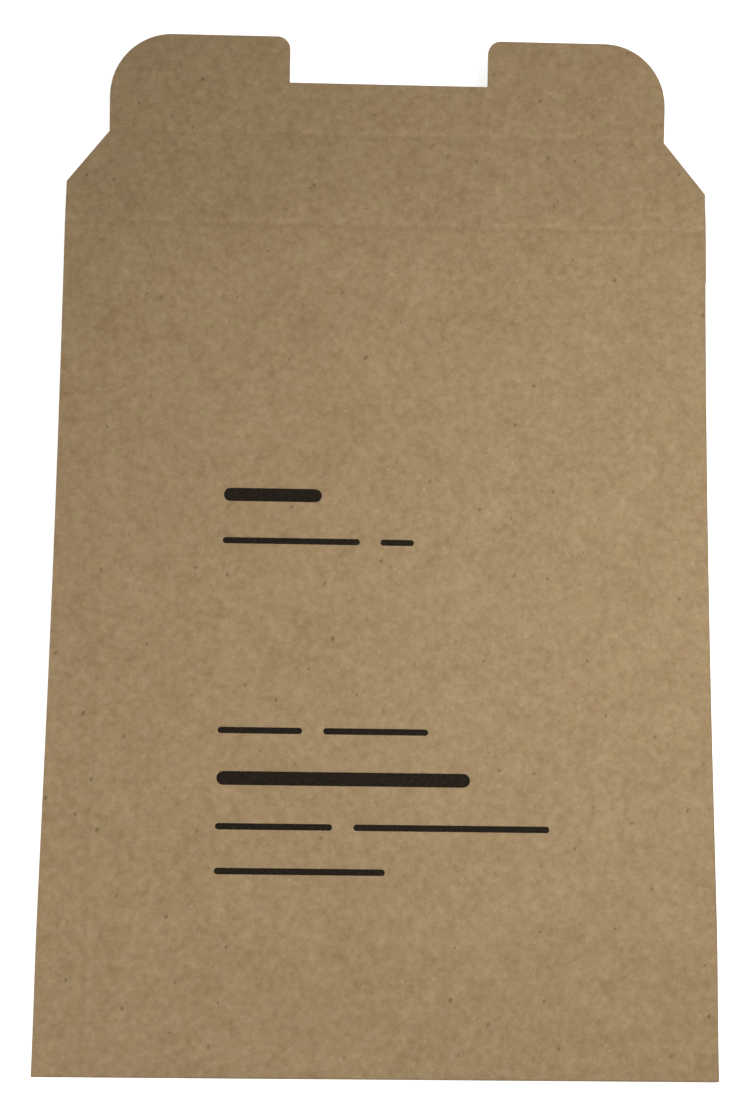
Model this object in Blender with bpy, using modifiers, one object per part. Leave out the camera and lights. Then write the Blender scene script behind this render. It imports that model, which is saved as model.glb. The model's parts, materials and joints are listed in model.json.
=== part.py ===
"""Flat kraft-board mailer with a tuck-in closure flap, folded from one die-cut sheet.

It lies on its back, printed face up. +X runs across the sheet, +Y from the bottom fold to the flap and
+Z up. The origin is in the middle of the back panel's outer face, which rests on the ground.
"""

import math

import bmesh
import bpy

# Board, and the space that its spring leaves between the layers at a fold
BOARD = 0.0006
LAYER_CLEARANCE = 0.0008

# Front and back panels
BODY_WIDTH = 0.254
BODY_LENGTH = 0.327
MOUTH_SETBACK = 0.0205
POCKET_GAP = 0.0050

# Shape of the empty mailer: the front climbs from the bottom fold, runs level and then curls up
RISE_LENGTH = 0.060
CURL_START = 0.110
CURL_ANGLE = math.radians(6.0)
SIDE_MARGIN = 0.040
FOLD_RADIUS = 0.0011

# Glued flaps
TAB_WIDTH = 0.019
TAB_END_CLEARANCE = 0.008
BOTTOM_FLAP_DEPTH = 0.022
BOTTOM_FLAP_BEVEL = 0.012
BOTTOM_STEP_LENGTH = 0.010
GLUE_OVERLAP = 0.00015

# Closure flap: a panel with slanted shoulders, then a tuck flap with two ears
CLOSURE_LENGTH = 0.0379
FLAP_DROP = math.radians(6.0)
SHOULDER_LENGTH = 0.0157
SHOULDER_TAPER_LENGTH = 0.0215
TUCK_WIDTH = 0.222
TUCK_LENGTH = 0.0381
TUCK_RAISE = math.radians(13.0)
NOTCH_WIDTH = 0.079
NOTCH_DEPTH = 0.018
EAR_OUTER_RADIUS = 0.025
EAR_INNER_RADIUS = 0.005
CREASE_GAP = 0.0004

# Fineness of the curved stretches
RISE_ROWS = 6
CURL_ROWS = 12
MARGIN_COLUMNS = 6
FOLD_SEGMENTS = 3
ARC_STEPS = 8
SHARP_EDGE = math.radians(60)
SAME_PLACE = 0.00001

KRAFT = (0.371, 0.263, 0.138, 1.0)
KRAFT_ROUGHNESS = 0.85

# Heights that follow from the layers: three layers at a side fold, and the bottom flap under them
SIDE_HEIGHT = 3 * BOARD + LAYER_CLEARANCE
EDGE_HEIGHT = SIDE_HEIGHT + BOARD
FRONT_HEIGHT = POCKET_GAP + 2 * BOARD
MOUTH = BODY_LENGTH - MOUTH_SETBACK
CURL_RADIUS = (BODY_LENGTH - CURL_START) / CURL_ANGLE
ORIGIN_FROM_BOTTOM = BODY_LENGTH / 2


def clear_scene():
    for obj in list(bpy.data.objects):
        bpy.data.objects.remove(obj, do_unlink=True)


def new_collection(name):
    collection = bpy.data.collections.new(name)
    bpy.context.scene.collection.children.link(collection)
    return collection


def kraft_material(name):
    material = bpy.data.materials.new(name)
    material.use_nodes = True
    shader = material.node_tree.nodes["Principled BSDF"]
    shader.inputs["Base Color"].default_value = KRAFT
    shader.inputs["Roughness"].default_value = KRAFT_ROUGHNESS
    shader.inputs["Metallic"].default_value = 0.0
    material.diffuse_color = KRAFT
    return material


def smooth(t):
    """0 up to t = 0, 1 from t = 1, with a level start and end."""
    t = min(max(t, 0.0), 1.0)
    return t * t * (3 - 2 * t)


def front_place(along):
    """Place on the front's outer face, this far along the sheet from the bottom fold: y from that fold, z."""
    if along <= CURL_START:
        rise = smooth(along / RISE_LENGTH)
        return along, EDGE_HEIGHT + (FRONT_HEIGHT - EDGE_HEIGHT) * rise
    turned = (along - CURL_START) / CURL_RADIUS
    y = CURL_START + CURL_RADIUS * math.sin(turned)
    z = FRONT_HEIGHT + CURL_RADIUS * (1 - math.cos(turned))
    return y, z


def back_height(x, along):
    """Height of the back panel's outer face: on the bottom flap, then on the ground, up to the side folds."""
    resting = BOARD * (1 - smooth((along - BOTTOM_FLAP_DEPTH) / BOTTOM_STEP_LENGTH))
    at_side = front_place(along)[1] - SIDE_HEIGHT
    into_margin = (abs(x) - (BODY_WIDTH / 2 - SIDE_MARGIN)) / SIDE_MARGIN
    return resting + (at_side - resting) * smooth(into_margin)


def body_rows():
    """Distances along the sheet at which the body is cut into rows of faces."""
    rows = [RISE_LENGTH * i / RISE_ROWS for i in range(1, RISE_ROWS + 1)]
    rows += [BOTTOM_FLAP_DEPTH, BOTTOM_FLAP_DEPTH + BOTTOM_STEP_LENGTH / 2]
    rows += [BOTTOM_FLAP_DEPTH + BOTTOM_STEP_LENGTH, MOUTH]
    curl = BODY_LENGTH - CURL_START
    rows += [CURL_START + curl * i / CURL_ROWS for i in range(CURL_ROWS)]
    return rows


def margin_columns():
    """Places across the sheet at which the back's side margins are cut into columns of faces."""
    inner = BODY_WIDTH / 2 - SIDE_MARGIN
    right = [inner + SIDE_MARGIN * i / MARGIN_COLUMNS for i in range(MARGIN_COLUMNS)]
    return right + [-x for x in right]


def cut_across(bm, axis, places):
    """Cuts all faces by planes square to an axis."""
    normal = [0.0, 0.0, 0.0]
    normal[axis] = 1.0
    for place in places:
        point = [place * n for n in normal]
        everything = bm.verts[:] + bm.edges[:] + bm.faces[:]
        bmesh.ops.bisect_plane(bm, geom=everything, dist=SAME_PLACE, plane_co=point, plane_no=normal)


def object_from_bmesh(name, bm, collection):
    mesh = bpy.data.meshes.new(name)
    bm.to_mesh(mesh)
    bm.free()
    obj = bpy.data.objects.new(name, mesh)
    collection.objects.link(obj)
    return obj


def add_solidify(obj, thickness):
    """Thickens an open surface behind its faces."""
    solidify = obj.modifiers.new("board", 'SOLIDIFY')
    solidify.thickness = thickness
    solidify.offset = -1.0
    solidify.use_even_offset = True


def add_union(obj, other):
    union = obj.modifiers.new(other.name, 'BOOLEAN')
    union.operation = 'UNION'
    union.solver = 'EXACT'
    union.object = other


def envelope_surface(collection):
    """Outer face of the front, side folds, bottom fold and back: a low box without its mouth.

    The box is cut into rows and columns while its z is only 0 for the back and 1 for the front. The back
    and the side folds end at the mouth, and the front runs on to the flap's first crease.
    """
    bm = bmesh.new()
    bmesh.ops.create_cube(bm, size=1.0)
    front_end = BODY_LENGTH - CREASE_GAP / 2
    for vert in bm.verts:
        vert.co.x *= BODY_WIDTH
        vert.co.y = (vert.co.y + 0.5) * front_end
        vert.co.z += 0.5
    cut_across(bm, 0, margin_columns())
    cut_across(bm, 1, body_rows())
    bm.normal_update()
    beyond = [f for f in bm.faces if f.calc_center_median().y > MOUTH and f.normal.z < 0.5]
    bmesh.ops.delete(bm, geom=beyond, context='FACES')
    for vert in bm.verts:
        along = vert.co.y
        y, z = front_place(along)
        if vert.co.z < 0.5:
            z = back_height(vert.co.x, along)
        vert.co.y = y - ORIGIN_FROM_BOTTOM
        vert.co.z = z
    return object_from_bmesh("pocket", bm, collection)


def strip_surface(start, end):
    """Flat strip one unit wide either side of x = 0, from start to end along y, cut at the body's rows."""
    bm = bmesh.new()
    bmesh.ops.create_grid(bm, x_segments=1, y_segments=1, size=1.0)
    for vert in bm.verts:
        vert.co.y = start + (end - start) * (vert.co.y + 1) / 2
    cut_across(bm, 1, [row for row in body_rows() if start < row < end])
    return bm


def side_tab(collection):
    """Glue tab inside the left edge, sunk a little into the front panel so that the two join."""
    bm = strip_surface(TAB_END_CLEARANCE, MOUTH - TAB_END_CLEARANCE)
    left = -BODY_WIDTH / 2 + BOARD / 2
    right = -BODY_WIDTH / 2 + TAB_WIDTH
    for vert in bm.verts:
        vert.co.x = right if vert.co.x > 0 else left
        y, z = front_place(vert.co.y)
        vert.co.y = y - ORIGIN_FROM_BOTTOM
        vert.co.z = z - BOARD + GLUE_OVERLAP
    obj = object_from_bmesh("side_tab", bm, collection)
    add_solidify(obj, BOARD + GLUE_OVERLAP)
    return obj


def bottom_flap(collection):
    """Glue flap under the back panel, with bevelled ends, sunk a little into it so that the two join."""
    bm = strip_surface(BOARD / 2, BOTTOM_FLAP_DEPTH)
    half_width = BODY_WIDTH / 2 - BOARD
    for vert in bm.verts:
        vert.co.x *= half_width - BOTTOM_FLAP_BEVEL * vert.co.y / BOTTOM_FLAP_DEPTH
    cut_across(bm, 0, margin_columns())
    for vert in bm.verts:
        along = vert.co.y
        vert.co.z = back_height(vert.co.x, along) + GLUE_OVERLAP
        vert.co.y = along - ORIGIN_FROM_BOTTOM
    obj = object_from_bmesh("bottom_flap", bm, collection)
    add_solidify(obj, BOARD + GLUE_OVERLAP)
    return obj


def make_pocket(parts, guides):
    pocket = envelope_surface(parts)
    folds = pocket.modifiers.new("folds", 'BEVEL')
    folds.width = FOLD_RADIUS
    folds.segments = FOLD_SEGMENTS
    folds.limit_method = 'ANGLE'
    folds.angle_limit = SHARP_EDGE
    add_solidify(pocket, BOARD)
    for glued in (side_tab(guides), bottom_flap(guides)):
        glued.hide_render = True
        glued.display_type = 'WIRE'
        add_union(pocket, glued)
    pocket.data.materials.append(kraft_material("pocket_board"))
    return pocket


def arc(centre, radius, start_degrees, end_degrees):
    """Points round an arc, both ends included."""
    points = []
    for i in range(ARC_STEPS + 1):
        angle = math.radians(start_degrees + (end_degrees - start_degrees) * i / ARC_STEPS)
        points.append((centre[0] + radius * math.cos(angle), centre[1] + radius * math.sin(angle)))
    return points


def both_sides(right_half):
    """Outline from its right half, listed from the bottom to the top, mirrored in x = 0."""
    left_half = [(-x, y) for x, y in reversed(right_half)]
    return right_half + left_half


def closure_outline():
    half = BODY_WIDTH / 2
    near = CREASE_GAP / 2
    far = CLOSURE_LENGTH - CREASE_GAP / 2
    taper_end = SHOULDER_LENGTH + SHOULDER_TAPER_LENGTH
    right = [(half, near), (half, SHOULDER_LENGTH), (TUCK_WIDTH / 2, taper_end), (TUCK_WIDTH / 2, far)]
    return both_sides(right)


def tuck_outline():
    half = TUCK_WIDTH / 2
    notch = NOTCH_WIDTH / 2
    outer = (half - EAR_OUTER_RADIUS, TUCK_LENGTH - EAR_OUTER_RADIUS)
    inner = (notch + EAR_INNER_RADIUS, TUCK_LENGTH - EAR_INNER_RADIUS)
    right = [(half, CREASE_GAP / 2)]
    right += arc(outer, EAR_OUTER_RADIUS, 0, 90)
    right += arc(inner, EAR_INNER_RADIUS, 90, 180)
    right += [(notch, TUCK_LENGTH - NOTCH_DEPTH)]
    return both_sides(right)


def board_from_outline(name, outline, crease, collection):
    """Flat board of this outline, hung on an empty on its crease, with its inner face through the crease."""
    curve = bpy.data.curves.new(name, 'CURVE')
    curve.dimensions = '2D'
    curve.fill_mode = 'BOTH'
    curve.extrude = BOARD / 2
    spline = curve.splines.new('POLY')
    spline.points.add(len(outline) - 1)
    for point, (x, y) in zip(spline.points, outline):
        point.co = (x, y, 0, 1)
    spline.use_cyclic_u = True
    obj = bpy.data.objects.new(name, curve)
    obj.parent = crease
    obj.location = (0, 0, BOARD / 2)
    collection.objects.link(obj)
    curve.materials.append(kraft_material(name + "_board"))
    return obj


def make_flap(parts):
    """Closure panel and tuck flap, each turning on an empty that lies along its crease."""
    y, z = front_place(BODY_LENGTH)
    flap_fold = bpy.data.objects.new("flap_fold", None)
    flap_fold.location = (
        0,
        y + BOARD * math.sin(CURL_ANGLE) - ORIGIN_FROM_BOTTOM,
        z - BOARD * math.cos(CURL_ANGLE),
    )
    flap_fold.rotation_euler.x = CURL_ANGLE - FLAP_DROP
    parts.objects.link(flap_fold)
    board_from_outline("closure_panel", closure_outline(), flap_fold, parts)

    tuck_fold = bpy.data.objects.new("tuck_fold", None)
    tuck_fold.parent = flap_fold
    tuck_fold.location = (0, CLOSURE_LENGTH, 0)
    tuck_fold.rotation_euler.x = TUCK_RAISE
    parts.objects.link(tuck_fold)
    board_from_outline("tuck_flap", tuck_outline(), tuck_fold, parts)


def main():
    clear_scene()
    parts = new_collection("paper_mailer")
    guides = new_collection("glued_flaps")
    make_pocket(parts, guides)
    make_flap(parts)


main()
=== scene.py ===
"""Looks of the kraft-board mailer: the folded sheet with its creases, its print and its finish.

Every piece is laid out on the flat, unfolded sheet and then folded into place. On the flat sheet, u runs
across and v runs along it from the bottom fold, both in metres.
"""

import json
import math

import bmesh
import bpy
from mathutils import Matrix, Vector


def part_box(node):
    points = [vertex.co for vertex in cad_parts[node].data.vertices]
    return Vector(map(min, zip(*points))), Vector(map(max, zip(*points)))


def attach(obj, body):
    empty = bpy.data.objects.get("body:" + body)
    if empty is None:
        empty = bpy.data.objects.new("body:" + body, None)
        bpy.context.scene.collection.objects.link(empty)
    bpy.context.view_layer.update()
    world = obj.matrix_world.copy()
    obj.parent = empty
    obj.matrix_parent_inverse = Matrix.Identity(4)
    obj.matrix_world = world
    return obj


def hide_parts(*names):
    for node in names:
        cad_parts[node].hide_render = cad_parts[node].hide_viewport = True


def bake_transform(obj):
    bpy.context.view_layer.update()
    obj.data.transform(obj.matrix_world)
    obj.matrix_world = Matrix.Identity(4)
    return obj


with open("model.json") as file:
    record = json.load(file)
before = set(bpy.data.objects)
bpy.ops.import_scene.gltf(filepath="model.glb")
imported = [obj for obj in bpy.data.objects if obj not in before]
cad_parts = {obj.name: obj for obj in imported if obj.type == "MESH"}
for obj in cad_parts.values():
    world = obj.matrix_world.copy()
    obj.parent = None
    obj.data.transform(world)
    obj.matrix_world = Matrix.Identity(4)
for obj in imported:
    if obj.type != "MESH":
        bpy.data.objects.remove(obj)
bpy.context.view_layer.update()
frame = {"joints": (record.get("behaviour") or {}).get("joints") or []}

# Taken from the frame
JOINTS = {joint["name"]: Vector(joint["pos_m"]) for joint in frame["joints"]}
FLAP_CREASE = JOINTS["flap_fold"]
TUCK_CREASE = JOINTS["tuck_fold"]
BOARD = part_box("closure_panel")[1].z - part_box("closure_panel")[0].z
HALF_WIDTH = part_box("pocket")[1].x
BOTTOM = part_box("pocket")[0].y
TUCK_HALF_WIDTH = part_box("tuck_flap")[1].x
CLOSURE_LENGTH = TUCK_CREASE.y - FLAP_CREASE.y

# Shape of the body, as on the solid
BODY_LENGTH = 0.327
MOUTH = 0.3065
EDGE_HEIGHT = 0.0032
FRONT_HEIGHT = 0.0062
RISE_LENGTH = 0.060
CURL_START = 0.110
CURL_ANGLE = math.radians(6.0)
CURL_RADIUS = (BODY_LENGTH - CURL_START) / CURL_ANGLE
SIDE_MARGIN = 0.040
FOLD_RADIUS = 0.0011

# How far apart the layers are that lie on each other
LAYER_GAP = 0.00003

# Height of the side folds: that of the body's edge, less the bottom flap on which they lie there
SIDE_HEIGHT = EDGE_HEIGHT - BOARD - LAYER_GAP

# How near to the bottom fold's outside the side folds start
FOLD_END = 0.0002

# Glued flaps
TAB_WIDTH = 0.019
TAB_EDGE = TAB_WIDTH - HALF_WIDTH
TAB_TAPER = 0.008
TAB_ASIDE = 0.010
BOTTOM_FLAP_DEPTH = 0.022
BOTTOM_FLAP_BEVEL = 0.012
BOTTOM_STEP_LENGTH = 0.010

# Closure panel and tuck flap. The tuck flap ends a hair short of the solid, whose box it must not pass
SHOULDER_LENGTH = 0.0157
SHOULDER_TAPER_LENGTH = 0.0215
TUCK_LENGTH = 0.03805
TUCK_RAISE = math.radians(13.0)
NOTCH_HALF_WIDTH = 0.0395
NOTCH_DEPTH = 0.018
EAR_OUTER_RADIUS = 0.025
EAR_INNER_RADIUS = 0.005

# Creases, what presses through the front, and how far before and after a crease the board bends
CREASE_REACH = 0.0030
FLAP_CREASE_DEPTH = 0.00030
TUCK_CREASE_DEPTH = 0.00022
CREASE_WIDTH = 0.0015
TAB_RIDGE = 0.00026
TAB_STEP = 0.00005
TAB_RIDGE_WIDTH = 0.0014
MOUTH_RIDGE = 0.00010
MOUTH_RIDGE_WIDTH = 0.0028

# Slight warp of the front: waves across and along it, each with its phase and its share
WARP = 0.00025
WARP_MARGIN = 0.060
WARP_WAVES = ((23.0, 14.0, 0.6, 1.0), (-19.0, 31.0, 2.0, 0.8))

# How strongly the board's colour is painted light on one side of a line and dark on the other, as painted
# shade and highlight of the creases and the tab's edge, and as a painted highlight along the back panel's
# end
FLAP_CREASE_PAINTED_SHADE = 0.92
TUCK_CREASE_PAINTED_SHADE = 0.46
TAB_PAINTED_SHADE = 1.0
TAB_PAINTED_SHADE_AT_MOUTH = 0.05
MOUTH_PAINTED_HIGHLIGHT = 0.3

# Print: plain bars, each row at its place along the sheet, its half height, and from where to where across
THIN = 0.0012
THICK = 0.0026
PRINT_ROWS = (
    (0.2185, THICK, ((-0.062, -0.024),)),
    (0.2005, THIN, ((-0.062, -0.009), (-0.001, 0.012))),
    (0.1275, THIN, ((-0.062, -0.030), (-0.022, 0.018))),
    (0.1095, THICK, ((-0.062, 0.034),)),
    (0.0915, THIN, ((-0.062, -0.018), (-0.010, 0.064))),
    (0.0750, THIN, ((-0.062, 0.002),)),
)
INK_ABOVE = 0.00003
INK_DEPTH = 0.00006

# Fineness of the meshes, and how far from a line they stay fine
STEP = 0.0040
FINE_STEP = 0.0004
ARC_STEPS = 6
EAR_STEPS = 24
MOUTH_FINE_REACH = 2 * MOUTH_RIDGE_WIDTH
TAB_FINE_REACH = 2.5 * TAB_RIDGE_WIDTH
INK_ROWS = (-1.0, -0.5, 0.0, 0.5, 1.0)
SAME_PLACE = 0.000001
SHARP_EDGE = math.radians(35)


def smooth(t):
    """0 up to t = 0, 1 from t = 1, with a level start and end."""
    t = min(max(t, 0.0), 1.0)
    return t * t * (3 - 2 * t)


def ridge(distance, width):
    """1 on a line, falling to nothing about a width and a half from it."""
    return math.exp(-(distance / width) ** 2)


def swing(distance, width):
    """-1 just before a line and 1 just after it, nothing on it and away from it."""
    share = distance / width
    return math.sqrt(2 * math.e) * share * math.exp(-share ** 2)


def places(start, end, exact=(), fine=()):
    """Places from start to end, a step apart, with the exact ones, and closer around each fine one."""
    count = math.ceil((end - start) / STEP)
    coarse = [start + (end - start) * i / count for i in range(count + 1)]
    kept = [start, end] + list(exact)
    for centre, reach in fine:
        steps = round(2 * reach / FINE_STEP)
        kept += [centre - reach + 2 * reach * i / steps for i in range(steps + 1)]
    kept = [place for place in kept if start <= place <= end]
    kept += [place for place in coarse if min(abs(place - other) for other in kept) > FINE_STEP]
    return sorted(set(kept))


def crease_offset(v):
    """Depth of the grooves that the two creases leave in the outer face, this far along the sheet."""
    flap = FLAP_CREASE_DEPTH * ridge(v - BODY_LENGTH, CREASE_WIDTH)
    tuck = TUCK_CREASE_DEPTH * ridge(v - BODY_LENGTH - CLOSURE_LENGTH, CREASE_WIDTH)
    return flap + tuck


def over_tab(v):
    """1 along the tab, falling to 0 over its tapered ends."""
    return smooth(v / TAB_TAPER) * smooth((MOUTH - v) / TAB_TAPER)


def front_relief(u, v):
    """What stands out of the front: the tab's edge, the back panel's end and a slight warp of the board."""
    step = TAB_STEP * smooth(0.5 - (u - TAB_EDGE) / (2 * TAB_RIDGE_WIDTH))
    edge = TAB_RIDGE * ridge(u - TAB_EDGE, TAB_RIDGE_WIDTH)
    end = MOUTH_RIDGE * ridge(v - MOUTH, MOUTH_RIDGE_WIDTH)
    across = (1 - (u / HALF_WIDTH) ** 2) ** 2
    along = smooth(v / WARP_MARGIN) * smooth((MOUTH - v) / WARP_MARGIN)
    waves = sum(share * math.sin(by_u * u + by_v * v + phase) for by_u, by_v, phase, share in WARP_WAVES)
    return (step + edge) * over_tab(v) + end + WARP * across * along * waves


def painted_shading(u, v):
    """How light, up to 1, or dark, down to -1, the board's colour is painted here on the flat sheet:
    painted shade and highlight on either side of the creases and the tab's edge, and a painted highlight
    along the back panel's end.
    """
    flap = FLAP_CREASE_PAINTED_SHADE * swing(v - BODY_LENGTH, CREASE_WIDTH)
    tuck = TUCK_CREASE_PAINTED_SHADE * swing(v - BODY_LENGTH - CLOSURE_LENGTH, CREASE_WIDTH)
    along_tab = TAB_PAINTED_SHADE + (TAB_PAINTED_SHADE_AT_MOUTH - TAB_PAINTED_SHADE) * v / MOUTH
    tab = along_tab * over_tab(v) * swing(u - TAB_EDGE, TAB_RIDGE_WIDTH)
    return flap + tuck + tab + MOUTH_PAINTED_HIGHLIGHT * ridge(v - MOUTH, MOUTH_RIDGE_WIDTH)


def front_profile(v):
    """y from the bottom fold and z of the front's outer face, this far along the sheet."""
    if v <= CURL_START:
        return v, EDGE_HEIGHT + (FRONT_HEIGHT - EDGE_HEIGHT) * smooth(v / RISE_LENGTH)
    turned = (v - CURL_START) / CURL_RADIUS
    y = CURL_START + CURL_RADIUS * math.sin(turned)
    return y, FRONT_HEIGHT + CURL_RADIUS * (1 - math.cos(turned))


def front_height(u, v):
    """Height of the front's outer face, without the grooves of the creases."""
    return front_profile(v)[1] + front_relief(u, v)


def front_point(u, v):
    """Place on the front's outer face."""
    y, z = front_profile(v)
    return Vector((u, BOTTOM + y, z + front_relief(u, v) - crease_offset(v)))


def back_height(u, v):
    """Height of the back's outer face: on the bottom flap, then on the ground, and up to the side folds."""
    resting = (BOARD + LAYER_GAP) * (1 - smooth((v - BOTTOM_FLAP_DEPTH) / BOTTOM_STEP_LENGTH))
    at_side = front_profile(v)[1] - SIDE_HEIGHT
    into_margin = (abs(u) - (HALF_WIDTH - SIDE_MARGIN)) / SIDE_MARGIN
    return resting + (at_side - resting) * smooth(into_margin)


def flap_path(v):
    """y, z and slope of the flap's inner face beyond the front's end, worked out stretch by stretch."""
    direction = Vector((math.cos(CURL_ANGLE), math.sin(CURL_ANGLE)))
    place = Vector((FLAP_CREASE.y, FLAP_CREASE.z)) - CREASE_REACH * direction
    left = v - (BODY_LENGTH - CREASE_REACH)
    stretches = (
        (2 * CREASE_REACH, CURL_ANGLE, 0.0),
        (CLOSURE_LENGTH - 2 * CREASE_REACH, 0.0, 0.0),
        (2 * CREASE_REACH, 0.0, TUCK_RAISE),
        (TUCK_LENGTH, TUCK_RAISE, TUCK_RAISE),
    )
    for length, start, end in stretches:
        gone = min(left, length)
        slope = start + (end - start) * gone / length
        middle = (start + slope) / 2
        place = place + gone * Vector((math.cos(middle), math.sin(middle)))
        left -= gone
        if left <= 0:
            break
    return place.x, place.y, slope


def flap_point(u, v):
    """Place on the outer face of the closure panel or the tuck flap."""
    y, z, slope = flap_path(v)
    thick = BOARD - crease_offset(v)
    return Vector((u, y - thick * math.sin(slope), z + thick * math.cos(slope)))


def fold_profile(top, bottom, radius):
    """Round a fold from its upper to its lower face: how far in from the fold's outside, and height."""
    points = []
    for i in range(ARC_STEPS + 1):
        angle = math.pi / 2 * i / ARC_STEPS
        points.append((radius * (1 - math.sin(angle)), top - radius * (1 - math.cos(angle))))
    for i in range(ARC_STEPS + 1):
        angle = math.pi / 2 * i / ARC_STEPS
        points.append((radius * (1 - math.cos(angle)), bottom + radius * (1 - math.sin(angle))))
    return points


def new_sheet():
    """An empty mesh whose points also hold their place on the flat sheet, and the painted light and shade
    there.
    """
    bm = bmesh.new()
    bm.verts.layers.float_vector.new("sheet")
    return bm


def add_grid(bm, rows, columns, place):
    """Faces over every row and column. place gives a point and its u and v on the flat sheet."""
    sheet = bm.verts.layers.float_vector["sheet"]
    grid = []
    for row in rows:
        line = []
        for column in columns:
            point, u, v = place(row, column)
            vert = bm.verts.new(point)
            # The third value is the painted light and shade of the lines here
            vert[sheet] = (u, v, painted_shading(u, v))
            line.append(vert)
        grid.append(line)
    for lower, upper in zip(grid, grid[1:]):
        for i in range(len(columns) - 1):
            bm.faces.new((lower[i], lower[i + 1], upper[i + 1], upper[i]))


def sheet_object(name, bm, materials, thickness):
    """The sheet with a thickness behind its outer face, and a second finish, if given, on the cut edges."""
    bmesh.ops.remove_doubles(bm, verts=bm.verts[:], dist=SAME_PLACE)
    mesh = bpy.data.meshes.new(name + "_face")
    bm.to_mesh(mesh)
    bm.free()
    obj = bpy.data.objects.new(name, mesh)
    bpy.context.scene.collection.objects.link(obj)
    for material in materials:
        mesh.materials.append(material)
    thick = obj.modifiers.new("board", 'SOLIDIFY')
    thick.thickness = thickness
    thick.offset = -1.0
    thick.use_even_offset = True
    thick.material_offset_rim = len(materials) - 1
    bpy.context.view_layer.update()
    evaluated = obj.evaluated_get(bpy.context.evaluated_depsgraph_get())
    final = bpy.data.meshes.new_from_object(evaluated)
    obj.modifiers.clear()
    obj.data = final
    final.name = name
    final.shade_smooth()
    final.set_sharp_from_angle(angle=SHARP_EDGE)
    return obj


def body_rows():
    """Places along the sheet at which the body is divided."""
    exact = (FOLD_RADIUS, BOTTOM_FLAP_DEPTH, BOTTOM_FLAP_DEPTH + BOTTOM_STEP_LENGTH, MOUTH)
    fine = ((MOUTH, MOUTH_FINE_REACH),)
    return places(FOLD_RADIUS, BODY_LENGTH - CREASE_REACH, exact, fine)


def add_front(bm, rows, columns):
    """The front, whose right edge past the mouth has no fold and so runs out to the full width."""
    add_grid(bm, rows, columns, lambda v, u: (front_point(u, v), u, v))
    beyond = [v for v in rows if v >= MOUTH]
    edge = [HALF_WIDTH - FOLD_RADIUS, HALF_WIDTH]
    add_grid(bm, beyond, edge, lambda v, u: (front_point(u, v), u, v))


def add_side_fold(bm, rows, side, top_height, radius):
    """One side fold. side is 1 for the right, whose path runs down, and -1 for the left, which runs up."""
    inner = HALF_WIDTH - radius

    def place(v, step):
        top = top_height(side * inner, v)
        bottom = back_height(HALF_WIDTH - FOLD_RADIUS, v)
        inwards, height = fold_profile(top, bottom, radius)[step]
        if height < (top + bottom) / 2:
            inwards += (FOLD_RADIUS - radius) * inwards / radius
        x = side * (HALF_WIDTH - inwards)
        y = front_profile(v)[0]
        u = side * (inner + step * FINE_STEP)
        return Vector((x, BOTTOM + y, height)), u, v

    steps = list(range(2 * ARC_STEPS + 2))
    add_grid(bm, rows, steps if side > 0 else steps[::-1], place)


def add_back(bm, rows, fold_length):
    """The back panel, which on the flat sheet follows the front's right side fold."""
    edge = HALF_WIDTH - FOLD_RADIUS
    columns = places(-edge, edge, (HALF_WIDTH - SIDE_MARGIN, SIDE_MARGIN - HALF_WIDTH))[::-1]

    def place(v, x):
        y = front_profile(v)[0]
        return Vector((x, BOTTOM + y, back_height(x, v))), edge + fold_length + edge - x, v

    add_grid(bm, rows, columns, place)


def tab_height(u, v):
    """Height of the outer face of the side tab, glued under the front."""
    return front_height(u, v) - BOARD - LAYER_GAP


def add_tab(bm, rows, radius):
    """The side tab, whose ends taper towards its edge. On the flat sheet it lies a little aside."""
    start = radius - HALF_WIDTH
    columns = places(start, TAB_EDGE, (), ((TAB_EDGE, TAB_RIDGE_WIDTH),))
    low, high = rows[0], rows[-1]

    def place(v, x):
        taper = TAB_TAPER * (x - start) / (TAB_EDGE - start)
        v = low + taper + (v - low) * (high - low - 2 * taper) / (high - low)
        y = front_profile(v)[0]
        return Vector((x, BOTTOM + y, tab_height(x, v))), start - (x - start) - TAB_ASIDE, v

    add_grid(bm, rows, columns, place)


def add_bottom_fold(bm, columns):
    """The bottom fold and the glue flap under the back panel, with bevelled ends."""
    left, right = columns[0], columns[-1]
    depths = places(FOLD_RADIUS, BOTTOM_FLAP_DEPTH)
    steps = list(range(2 * ARC_STEPS + 2 + len(depths) - 1))

    def place(step, u):
        share = (u - left) / (right - left)
        top = front_height(u, FOLD_RADIUS)
        bottom = back_height(u, FOLD_RADIUS) - BOARD - LAYER_GAP
        if step < 2 * ARC_STEPS + 2:
            y, z = fold_profile(top, bottom, FOLD_RADIUS)[step]
            return Vector((u, BOTTOM + y, z)), u, FOLD_RADIUS - step * FINE_STEP
        depth = depths[step - 2 * ARC_STEPS - 1]
        bevel = BOTTOM_FLAP_BEVEL * (depth - FOLD_RADIUS) / BOTTOM_FLAP_DEPTH
        x = left + bevel + share * (right - left - 2 * bevel)
        z = back_height(x, depth) - BOARD - LAYER_GAP
        return Vector((x, BOTTOM + depth, z)), x, -depth

    add_grid(bm, steps[::-1], columns, place)


def make_pocket(materials):
    """The folded and glued body, in one sheet."""
    bm = new_sheet()
    rows = body_rows()
    body = [v for v in rows if v <= MOUTH]
    fine = ((TAB_EDGE, TAB_FINE_REACH),)
    columns = places(-HALF_WIDTH, HALF_WIDTH - FOLD_RADIUS, (), fine)
    add_front(bm, rows, columns)
    fold_rows = [FOLD_END] + body
    add_side_fold(bm, fold_rows, 1, front_height, FOLD_RADIUS)
    add_back(bm, body, math.pi * FOLD_RADIUS)
    tab_radius = (SIDE_HEIGHT - BOARD - LAYER_GAP) / 2
    add_side_fold(bm, fold_rows, -1, tab_height, tab_radius)
    add_tab(bm, fold_rows, tab_radius)
    add_bottom_fold(bm, columns)
    pocket = sheet_object("pocket_board", bm, materials, BOARD)
    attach(pocket, "pocket")
    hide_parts("pocket")
    return pocket


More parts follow.
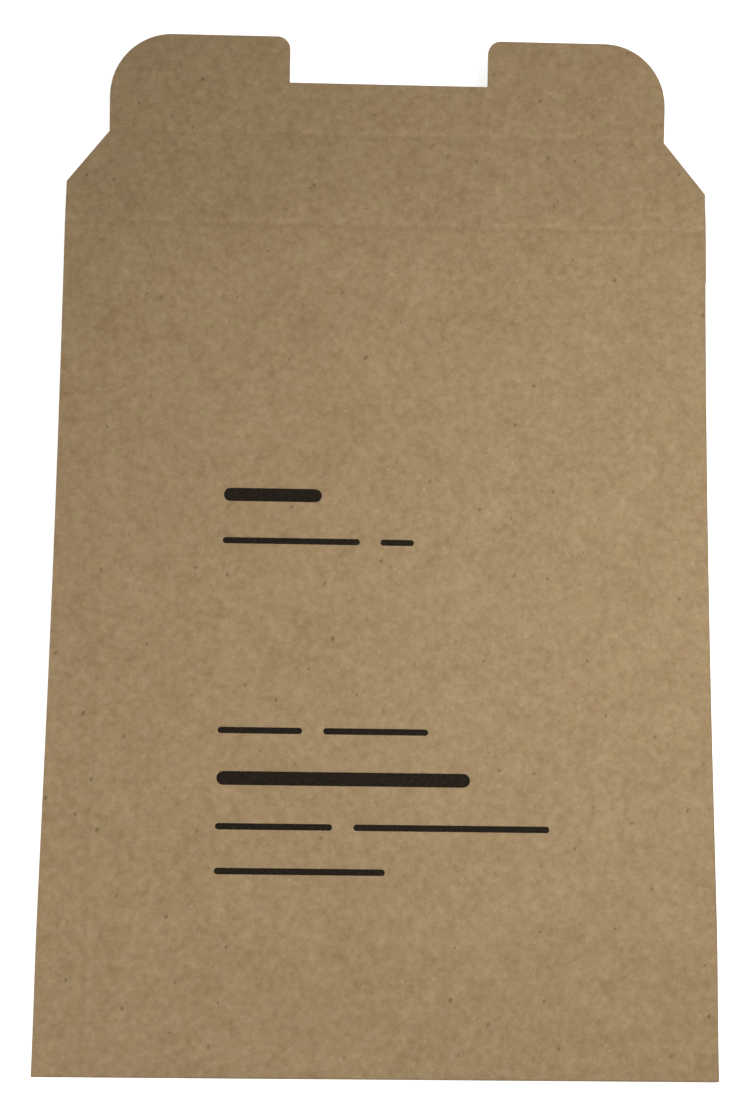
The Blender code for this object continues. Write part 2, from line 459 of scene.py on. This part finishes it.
def make_print(material):
    """The printed bars, with round ends: a thin film of ink that lies just proud of the front."""
    bm = new_sheet()
    for v, half_height, bars in PRINT_ROWS:
        for start, end in bars:
            turns = [math.pi / 2 * i / ARC_STEPS for i in range(ARC_STEPS + 1)]
            inset = [half_height * (1 - math.sin(turn)) for turn in turns]
            columns = [start + reach for reach in inset[::-1]] + [end - reach for reach in inset]
            columns += places(start + half_height, end - half_height)[1:-1]

            def place(share, u):
                into_end = max(start + half_height - u, u - end + half_height, 0.0)
                reach = math.sqrt(max(half_height ** 2 - into_end ** 2, 0.0))
                place_v = v + share * reach
                return front_point(u, place_v) + Vector((0, 0, INK_ABOVE)), u, place_v

            add_grid(bm, INK_ROWS, sorted(columns), place)
    bars = sheet_object("printed_bars", bm, (material,), INK_DEPTH)
    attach(bars, "pocket")
    return bars


def shares_across():
    """Shares of the half width at which the closure panel is divided."""
    count = math.ceil(2 * HALF_WIDTH / STEP)
    return [2 * i / count - 1 for i in range(count + 1)]


def half_width(v):
    """Half the flap's width beyond the body: full, then slanting in, then round the tuck flap's ears."""
    beyond = v - BODY_LENGTH
    slant = min(max((beyond - SHOULDER_LENGTH) / SHOULDER_TAPER_LENGTH, 0.0), 1.0)
    width = HALF_WIDTH + (TUCK_HALF_WIDTH - HALF_WIDTH) * slant
    into_ear = beyond - CLOSURE_LENGTH - TUCK_LENGTH + EAR_OUTER_RADIUS
    if into_ear > 0:
        width -= EAR_OUTER_RADIUS - math.sqrt(max(EAR_OUTER_RADIUS ** 2 - into_ear ** 2, 0.0))
    return width


def notch_half_width(v):
    """Half the notch's width between the ears, with their rounded inner corners."""
    into_corner = v - BODY_LENGTH - CLOSURE_LENGTH - TUCK_LENGTH + EAR_INNER_RADIUS
    if into_corner <= 0:
        return NOTCH_HALF_WIDTH
    chord = math.sqrt(max(EAR_INNER_RADIUS ** 2 - into_corner ** 2, 0.0))
    return NOTCH_HALF_WIDTH + EAR_INNER_RADIUS - chord


def make_closure_panel(materials):
    """The panel with slanted shoulders, and the crease by which it hangs on the pocket."""
    bm = new_sheet()
    start = BODY_LENGTH - CREASE_REACH
    end = BODY_LENGTH + CLOSURE_LENGTH - CREASE_REACH
    shoulder = BODY_LENGTH + SHOULDER_LENGTH
    rows = places(start, end, (shoulder,), ((BODY_LENGTH, CREASE_REACH),))

    def place(v, share):
        u = share * half_width(v)
        return flap_point(u, v), u, v

    add_grid(bm, rows, shares_across(), place)
    panel = sheet_object("closure_panel_board", bm, materials, BOARD)
    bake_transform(panel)
    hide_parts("closure_panel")
    return panel


def make_tuck_flap(materials):
    """The flap with two ears, and the crease by which it hangs on the closure panel."""
    bm = new_sheet()
    crease = BODY_LENGTH + CLOSURE_LENGTH
    tip = crease + TUCK_LENGTH
    notch = tip - NOTCH_DEPTH
    taper_end = BODY_LENGTH + SHOULDER_LENGTH + SHOULDER_TAPER_LENGTH
    low_rows = places(crease - CREASE_REACH, notch, (taper_end,), ((crease, CREASE_REACH),))
    arc = [math.pi / 2 * i / EAR_STEPS for i in range(EAR_STEPS + 1)]
    ear_rows = [tip - EAR_OUTER_RADIUS * (1 - math.sin(angle)) for angle in arc]
    ear_rows += [tip - EAR_INNER_RADIUS * (1 - math.sin(angle)) for angle in arc[:-1:2]]
    ear_rows = sorted([notch] + [v for v in ear_rows if v > notch + FINE_STEP / 4])
    middle = places(-NOTCH_HALF_WIDTH, NOTCH_HALF_WIDTH)
    ear = places(NOTCH_HALF_WIDTH, TUCK_HALF_WIDTH)
    shares = [(x - ear[0]) / (ear[-1] - ear[0]) for x in ear]

    def right(v, share):
        inner = notch_half_width(v)
        u = inner + share * (half_width(v) - inner)
        return flap_point(u, v), u, v

    def left(v, share):
        point, u, v = right(v, share)
        return Vector((-point.x, point.y, point.z)), -u, v

    all_rows = low_rows + ear_rows[1:]
    add_grid(bm, low_rows, middle, lambda v, u: (flap_point(u, v), u, v))
    add_grid(bm, all_rows, shares, right)
    add_grid(bm, all_rows, shares[::-1], left)
    flap = sheet_object("tuck_flap_board", bm, materials, BOARD)
    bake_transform(flap)
    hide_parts("tuck_flap")
    return flap


# Soft edge of a speck, as a share of its radius
SPECK_SOFTNESS = 0.25


class Finish:
    """A material's nodes, with short calls for the kinds that the board and the ink use."""

    def __init__(self, name):
        self.material = bpy.data.materials.new(name)
        self.material.use_nodes = True
        self.nodes = self.material.node_tree.nodes
        self.links = self.material.node_tree.links
        self.shader = self.nodes["Principled BSDF"]

    def feed(self, socket, value):
        """Links an output to a socket, or sets the socket to a plain value."""
        if isinstance(value, bpy.types.NodeSocket):
            self.links.new(value, socket)
        else:
            socket.default_value = value

    def number(self, operation, *values):
        """A number worked out from plain values or outputs."""
        node = self.nodes.new("ShaderNodeMath")
        node.operation = operation
        for socket, value in zip(node.inputs, values):
            self.feed(socket, value)
        return node.outputs[0]

    def total(self, *terms):
        """The sum of plain values or outputs."""
        result = terms[0]
        for term in terms[1:]:
            result = self.number('ADD', result, term)
        return result

    def mix(self, share, first, second):
        """A colour between two, both plain colours or outputs."""
        node = self.nodes.new("ShaderNodeMix")
        node.data_type = 'RGBA'
        sockets = [s for s in node.inputs if s.enabled]
        for socket, value in zip(sockets, (share, first, second)):
            if isinstance(value, tuple):
                value = (*value, 1.0)
            self.feed(socket, value)
        return next(s for s in node.outputs if s.enabled)

    def sheet(self):
        """The place on the flat sheet, u and v, which stays with the board however it folds."""
        node = self.nodes.new("ShaderNodeAttribute")
        node.attribute_name = "sheet"
        return node.outputs["Vector"]

    def placed(self, vector, scale=(1.0, 1.0, 1.0), turn=0.0):
        """The place in a pattern that is stretched by a scale and then turned, in radians."""
        node = self.nodes.new("ShaderNodeMapping")
        node.vector_type = 'TEXTURE'
        node.inputs["Rotation"].default_value = (0.0, 0.0, turn)
        node.inputs["Scale"].default_value = scale
        self.links.new(vector, node.inputs["Vector"])
        return node.outputs[0]

    def turned(self, vector, degrees):
        """The same place on a sheet turned this far, so that no noise shows the lines of its own cells."""
        return self.placed(vector, turn=math.radians(degrees))

    def noise(self, vector, size, detail=0.0, roughness=0.5, output="Fac", flat=True):
        """Noise about 0, or a colour of noise, whose blotches are about this size in metres."""
        node = self.nodes.new("ShaderNodeTexNoise")
        node.noise_dimensions = '2D' if flat else '3D'
        node.inputs["Scale"].default_value = 1.0 / size
        node.inputs["Detail"].default_value = detail
        node.inputs["Roughness"].default_value = roughness
        self.links.new(vector, node.inputs["Vector"])
        if output == "Color":
            return node.outputs["Color"]
        return self.number('SUBTRACT', node.outputs["Fac"], 0.5)

    def specks(self, vector, spacing, share, least, most):
        """1 on scattered specks: one in each cell of this spacing for a share of the cells, by radius."""
        node = self.nodes.new("ShaderNodeTexVoronoi")
        node.voronoi_dimensions = '2D'
        node.inputs["Scale"].default_value = 1.0 / spacing
        self.links.new(vector, node.inputs["Vector"])
        drawn = self.nodes.new("ShaderNodeSeparateColor")
        self.links.new(node.outputs["Color"], drawn.inputs[0])
        there = self.number('LESS_THAN', drawn.outputs[0], share)
        radius = self.nodes.new("ShaderNodeMapRange")
        radius.inputs["To Min"].default_value = least / spacing
        radius.inputs["To Max"].default_value = most / spacing
        self.links.new(drawn.outputs[1], radius.inputs["Value"])
        near = self.number('DIVIDE', node.outputs["Distance"], radius.outputs["Result"])
        solid = self.nodes.new("ShaderNodeMapRange")
        solid.interpolation_type = 'SMOOTHSTEP'
        solid.inputs["From Min"].default_value = 1 + SPECK_SOFTNESS
        solid.inputs["From Max"].default_value = 1 - SPECK_SOFTNESS
        self.links.new(near, solid.inputs["Value"])
        return self.number('MULTIPLY', there, solid.outputs["Result"])

    def relief(self, height, depth):
        """Bump from a height that runs over about 1, times this depth in metres."""
        bump = self.nodes.new("ShaderNodeBump")
        bump.inputs["Strength"].default_value = 1.0
        bump.inputs["Distance"].default_value = depth
        self.links.new(height, bump.inputs["Height"])
        self.links.new(bump.outputs["Normal"], self.shader.inputs["Normal"])


# Colours: the board's face runs from dark to light, and its light end from olive to pink
KRAFT_DARK = (0.2566, 0.1630, 0.0738)
KRAFT_LIGHT_OLIVE = (0.4460, 0.3430, 0.1750)
KRAFT_LIGHT_PINK = (0.4868, 0.3390, 0.2074)
SPECK_DARK = (0.0850, 0.0540, 0.0300)
SPECK_LIGHT = (0.6400, 0.5100, 0.3300)
CUT_DARK = (0.2900, 0.2000, 0.1050)
CUT_LIGHT = (0.5400, 0.4150, 0.2550)
INK = (0.0085, 0.0060, 0.0040)
INK_THIN = (0.0260, 0.0180, 0.0105)

# Patterns of the board's face: blotch sizes in metres, how far each is turned on the sheet, in degrees, and
# its share of the shade, which runs from 0, dark, to 1, light
CLOUD_SIZE = 0.0240
CLOUD_TURN = 24
CLOUD_SHARE = 0.20
BLOTCH_SIZE = 0.0075
BLOTCH_TURN = -37
BLOTCH_SHARE = 0.24
MOTTLES = ((0.0034, 32), (0.0029, 77))
MOTTLE_SHARE = 0.43
GRAIN_SIZE = 0.0011
GRAIN_TURN = 51
GRAIN_SHARE = 0.20
HUE_SIZE = 0.0060
HUE_TURN = 62
FIBRE_SIZE = (0.0021, 0.00042, 1.0)
FIBRE_TURNS = (8, 68, 127)
FELT_SHARE = 0.24

# Share of the painted light and shade along the lines, and how strongly the blotches and the mottle break
# it up
PAINTED_SHADE_SHARE = 0.062
PAINTED_SHADE_BY_BLOTCHES = 0.14
PAINTED_SHADE_BY_MOTTLE = 0.09

# How far the flecks' outlines are bent out of round, and over what distance
FLECK_BEND = 0.0010
FLECK_BEND_SIZE = 0.0007

# Relief of the board's face: the share of each pattern, and the depth in metres
FELT_RELIEF = 0.5
GRAIN_RELIEF = 0.6
MOTTLE_RELIEF = 0.9
BOARD_RELIEF = 0.00006

# Gloss: mean roughness, how much the grain changes it, and the specular level
BOARD_ROUGHNESS = 0.84
GRAIN_ON_ROUGHNESS = 0.25
BOARD_SPECULAR = 0.22
EDGE_ROUGHNESS = 0.92
EDGE_SPECULAR = 0.15
INK_ROUGHNESS = 0.70
INK_SPECULAR = 0.06

# Cut edge: plies that run along the board, and its grain
PLY_SIZE = (0.0030, 0.0030, 0.00016)
PLY_SHARE = 1.3
EDGE_GRAIN_SIZE = 0.0005
EDGE_GRAIN_SHARE = 0.9
EDGE_RELIEF = 0.00008

# Ink: its grain, from where to where it turns thin, and its bare flecks
INK_GRAIN_SIZE = 0.0009
INK_SOLID_BELOW = -0.25
INK_THIN_ABOVE = 0.45
BARE_SPACING = 0.0024
BARE_SHARE = 0.22
BARE_LEAST = 0.00006
BARE_MOST = 0.00015
BARE_STRENGTH = 0.5
INK_RELIEF = 0.00004


def fleck_kind(colour, strength, spacing, share, least, most, slimness, turn):
    """One kind of fleck in the board: colour, how many there are, their lengths, shape and direction."""
    return dict(
        colour=colour,
        strength=strength,
        spacing=spacing,
        share=share,
        least=least,
        most=most,
        slimness=slimness,
        turn=turn,
    )


FLECKS = (
    fleck_kind(SPECK_DARK, 0.12, 0.0042, 0.30, 0.00030, 0.00075, 0.45, 20),
    fleck_kind(SPECK_DARK, 0.10, 0.0049, 0.30, 0.00030, 0.00085, 0.40, 112),
    fleck_kind(SPECK_DARK, 0.47, 0.0175, 0.30, 0.00040, 0.00095, 0.70, 65),
    fleck_kind(SPECK_LIGHT, 0.19, 0.0070, 0.30, 0.00030, 0.00080, 0.40, 35),
    fleck_kind(SPECK_LIGHT, 0.17, 0.0085, 0.30, 0.00030, 0.00090, 0.35, 148),
)


def fibres(finish, sheet, turn):
    """Short fibres that lie in the board's face, all about one way."""
    along = finish.placed(sheet, FIBRE_SIZE, math.radians(turn))
    return finish.noise(along, 1.0, detail=2.0, roughness=0.6)


def felted(finish, sheet):
    """Fibres lying every way."""
    return finish.total(*[fibres(finish, sheet, turn) for turn in FIBRE_TURNS])


def mottled(finish, sheet):
    """Two mottles over each other."""
    return finish.total(*[
        finish.noise(finish.turned(sheet, turn), size, detail=1.0, roughness=0.6) for size, turn in MOTTLES
    ])


def bent(finish, sheet):
    """The place on the sheet, moved a little to and fro, so that flecks aren't plain ovals."""
    moved = finish.nodes.new("ShaderNodeVectorMath")
    moved.operation = 'MULTIPLY_ADD'
    push = finish.noise(sheet, FLECK_BEND_SIZE, detail=1.0, output="Color")
    finish.links.new(push, moved.inputs[0])
    moved.inputs[1].default_value = (FLECK_BEND, FLECK_BEND, 0.0)
    finish.links.new(sheet, moved.inputs[2])
    return moved.outputs[0]


def kraft_material():
    """The board's face: cloudy formation, mottle, fibres, painted light and shade along its lines, and dark
    and light flecks.
    """
    finish = Finish("kraft_board")
    sheet = finish.sheet()
    # The sheet's third value: painted light and shade beside the creases and the tab's edge, and along the
    # back panel's end
    painted_shade_parts = finish.nodes.new("ShaderNodeSeparateXYZ")
    finish.links.new(sheet, painted_shade_parts.inputs[0])
    clouds = finish.noise(finish.turned(sheet, CLOUD_TURN), CLOUD_SIZE, detail=1.0)
    blotches = finish.noise(finish.turned(sheet, BLOTCH_TURN), BLOTCH_SIZE)
    mottle = mottled(finish, sheet)
    grain = finish.noise(finish.turned(sheet, GRAIN_TURN), GRAIN_SIZE, detail=2.0, roughness=0.6)
    felt = felted(finish, sheet)
    hue_noise = finish.noise(finish.turned(sheet, HUE_TURN), HUE_SIZE, detail=1.0, roughness=0.6)
    hue = finish.number('ADD', hue_noise, 0.5)
    # How strongly the painted light and shade shows, broken up by the blotches and the mottle
    painted_shade_strength = finish.total(
        PAINTED_SHADE_SHARE,
        finish.number('MULTIPLY', blotches, PAINTED_SHADE_BY_BLOTCHES),
        finish.number('MULTIPLY', mottle, PAINTED_SHADE_BY_MOTTLE),
    )
    shade = finish.total(
        0.5,
        finish.number('MULTIPLY', clouds, CLOUD_SHARE),
        finish.number('MULTIPLY', blotches, BLOTCH_SHARE),
        finish.number('MULTIPLY', mottle, MOTTLE_SHARE),
        finish.number('MULTIPLY', grain, GRAIN_SHARE),
        finish.number('MULTIPLY', felt, FELT_SHARE),
        finish.number('MULTIPLY', painted_shade_parts.outputs[2], painted_shade_strength),
    )
    colour = finish.mix(shade, KRAFT_DARK, finish.mix(hue, KRAFT_LIGHT_OLIVE, KRAFT_LIGHT_PINK))
    unround = bent(finish, sheet)
    for kind in FLECKS:
        lying = finish.placed(unround, (1.0, kind["slimness"], 1.0), math.radians(kind["turn"]))
        flecks = finish.specks(lying, kind["spacing"], kind["share"], kind["least"], kind["most"])
        colour = finish.mix(finish.number('MULTIPLY', flecks, kind["strength"]), colour, kind["colour"])
    finish.links.new(colour, finish.shader.inputs["Base Color"])
    rough = finish.number('MULTIPLY_ADD', grain, GRAIN_ON_ROUGHNESS, BOARD_ROUGHNESS)
    finish.links.new(rough, finish.shader.inputs["Roughness"])
    finish.shader.inputs["Specular IOR Level"].default_value = BOARD_SPECULAR
    height = finish.total(
        finish.number('MULTIPLY', felt, FELT_RELIEF),
        finish.number('MULTIPLY', grain, GRAIN_RELIEF),
        finish.number('MULTIPLY', mottle, MOTTLE_RELIEF),
    )
    finish.relief(height, BOARD_RELIEF)
    return finish.material


def cut_edge_material():
    """The board's cut edge: thin plies of fibre, paler than the face."""
    finish = Finish("cut_edge")
    place = finish.nodes.new("ShaderNodeTexCoord").outputs["Object"]
    plies = finish.noise(finish.placed(place, PLY_SIZE), 1.0, detail=2.0, roughness=0.6, flat=False)
    grain = finish.noise(place, EDGE_GRAIN_SIZE, detail=2.0, roughness=0.6, flat=False)
    shade = finish.total(
        0.5,
        finish.number('MULTIPLY', plies, PLY_SHARE),
        finish.number('MULTIPLY', grain, EDGE_GRAIN_SHARE),
    )
    colour = finish.mix(shade, CUT_DARK, CUT_LIGHT)
    finish.links.new(colour, finish.shader.inputs["Base Color"])
    finish.shader.inputs["Roughness"].default_value = EDGE_ROUGHNESS
    finish.shader.inputs["Specular IOR Level"].default_value = EDGE_SPECULAR
    finish.relief(finish.total(plies, grain), EDGE_RELIEF)
    return finish.material


def ink_material():
    """Black ink on the board: thin where the fibres stand proud, with a few bare flecks."""
    finish = Finish("ink")
    sheet = finish.sheet()
    felt = felted(finish, sheet)
    grain = finish.noise(sheet, INK_GRAIN_SIZE, detail=2.0, roughness=0.6)
    thin = finish.nodes.new("ShaderNodeMapRange")
    thin.inputs["From Min"].default_value = INK_SOLID_BELOW
    thin.inputs["From Max"].default_value = INK_THIN_ABOVE
    finish.links.new(finish.total(grain, felt), thin.inputs["Value"])
    colour = finish.mix(thin.outputs["Result"], INK, INK_THIN)
    bare = finish.specks(sheet, BARE_SPACING, BARE_SHARE, BARE_LEAST, BARE_MOST)
    colour = finish.mix(finish.number('MULTIPLY', bare, BARE_STRENGTH), colour, KRAFT_DARK)
    finish.links.new(colour, finish.shader.inputs["Base Color"])
    rough = finish.number('MULTIPLY_ADD', grain, GRAIN_ON_ROUGHNESS, INK_ROUGHNESS)
    finish.links.new(rough, finish.shader.inputs["Roughness"])
    finish.shader.inputs["Specular IOR Level"].default_value = INK_SPECULAR
    finish.relief(finish.total(felt, grain), INK_RELIEF)
    return finish.material


# Two soft lamps: place, what it points at, power in watts and colour
LAMPS = {
    "key": ((0.19, 0.04, 0.60), (0.16, 0.0, 0.0), 1.01, (1.0, 1.0, 1.0)),
    "fill": ((-0.37, -0.24, 0.60), (-0.34, -0.18, 0.0), 0.67, (1.0, 0.97, 0.97)),
}
LAMP_SIZE = 0.30
LAMP_SPREAD = math.radians(104)

# Light from all around, and the pale floor: its colour, what it adds where it is seen, its size and place
AMBIENT = 0.20
FLOOR_COLOUR = 0.80
FLOOR_GLOW = 0.80
FLOOR_HALF_SIZE = 20.0
FLOOR_BELOW = 0.00005

# Camera: lens and sensor height in millimetres, place in metres and turn in degrees
LENS = 50.0
SENSOR_HEIGHT = 36.0
NEAREST_SEEN = 0.01
CAMERA_PLACE = (-0.018476, -0.073425, 0.598036)
CAMERA_TURN = (10.0274, -1.5004, 0.6505)


def aim(obj, target):
    """Turns an object so that it looks at a point."""
    obj.rotation_euler = (Vector(target) - obj.location).to_track_quat('-Z', 'Y').to_euler()


def add_lamp(name, place, target, power, colour):
    """A soft, round lamp, which the camera doesn't see."""
    light = bpy.data.lights.new(name, 'AREA')
    light.shape = 'DISK'
    light.size = LAMP_SIZE
    light.spread = LAMP_SPREAD
    light.energy = power
    light.color = colour
    lamp = bpy.data.objects.new(name, light)
    lamp.location = place
    aim(lamp, target)
    lamp.visible_camera = False
    bpy.context.scene.collection.objects.link(lamp)


def seen_directly(nodes, links):
    """1 for rays from the camera, and for mirrored and refracted ones, else 0."""
    path = nodes.new("ShaderNodeLightPath")
    first = nodes.new("ShaderNodeMath")
    first.operation = 'MAXIMUM'
    links.new(path.outputs["Is Camera Ray"], first.inputs[0])
    links.new(path.outputs["Is Glossy Ray"], first.inputs[1])
    second = nodes.new("ShaderNodeMath")
    second.operation = 'MAXIMUM'
    links.new(first.outputs[0], second.inputs[0])
    links.new(path.outputs["Is Transmission Ray"], second.inputs[1])
    return second.outputs[0]


def make_world():
    """Even light from all around, and white where it is seen."""
    world = bpy.data.worlds.new("studio")
    bpy.context.scene.world = world
    world.use_nodes = True
    nodes, links = world.node_tree.nodes, world.node_tree.links
    background = nodes["Background"]
    background.inputs["Color"].default_value = (1, 1, 1, 1)
    strength = nodes.new("ShaderNodeMapRange")
    strength.inputs["To Min"].default_value = AMBIENT
    strength.inputs["To Max"].default_value = 1.0
    links.new(seen_directly(nodes, links), strength.inputs["Value"])
    links.new(strength.outputs["Result"], background.inputs["Strength"])


def make_floor():
    """The pale floor, which keeps the mailer's shadow."""
    bm = bmesh.new()
    bmesh.ops.create_grid(bm, x_segments=1, y_segments=1, size=FLOOR_HALF_SIZE)
    mesh = bpy.data.meshes.new("floor")
    bm.to_mesh(mesh)
    bm.free()
    floor = bpy.data.objects.new("floor", mesh)
    floor.location.z = -FLOOR_BELOW
    bpy.context.scene.collection.objects.link(floor)
    material = bpy.data.materials.new("floor")
    material.use_nodes = True
    nodes, links = material.node_tree.nodes, material.node_tree.links
    shader = nodes["Principled BSDF"]
    shader.inputs["Base Color"].default_value = (FLOOR_COLOUR, FLOOR_COLOUR, FLOOR_COLOUR, 1)
    shader.inputs["Roughness"].default_value = 1.0
    shader.inputs["Specular IOR Level"].default_value = 0.0
    glow = nodes.new("ShaderNodeMath")
    glow.operation = 'MULTIPLY'
    glow.inputs[1].default_value = FLOOR_GLOW
    links.new(seen_directly(nodes, links), glow.inputs[0])
    shader.inputs["Emission Color"].default_value = (1, 1, 1, 1)
    links.new(glow.outputs[0], shader.inputs["Emission Strength"])
    mesh.materials.append(material)


def make_camera():
    """The camera, almost straight above the mailer."""
    camera = bpy.data.cameras.new("camera")
    camera.lens = LENS
    camera.sensor_fit = 'VERTICAL'
    camera.sensor_height = SENSOR_HEIGHT
    camera.clip_start = NEAREST_SEEN
    holder = bpy.data.objects.new("camera", camera)
    holder.location = CAMERA_PLACE
    holder.rotation_euler = [math.radians(angle) for angle in CAMERA_TURN]
    bpy.context.scene.collection.objects.link(holder)
    bpy.context.scene.camera = holder


def main():
    """Sets up the camera and the light, and makes the pieces in their finishes."""
    bpy.context.scene.view_settings.view_transform = 'Standard'
    make_camera()
    make_world()
    make_floor()
    for name, (place, target, power, colour) in LAMPS.items():
        add_lamp(name, place, target, power, colour)
    finishes = (kraft_material(), cut_edge_material())
    pieces = (
        make_pocket(finishes),
        make_closure_panel(finishes),
        make_tuck_flap(finishes),
        make_print(ink_material()),
    )


main()
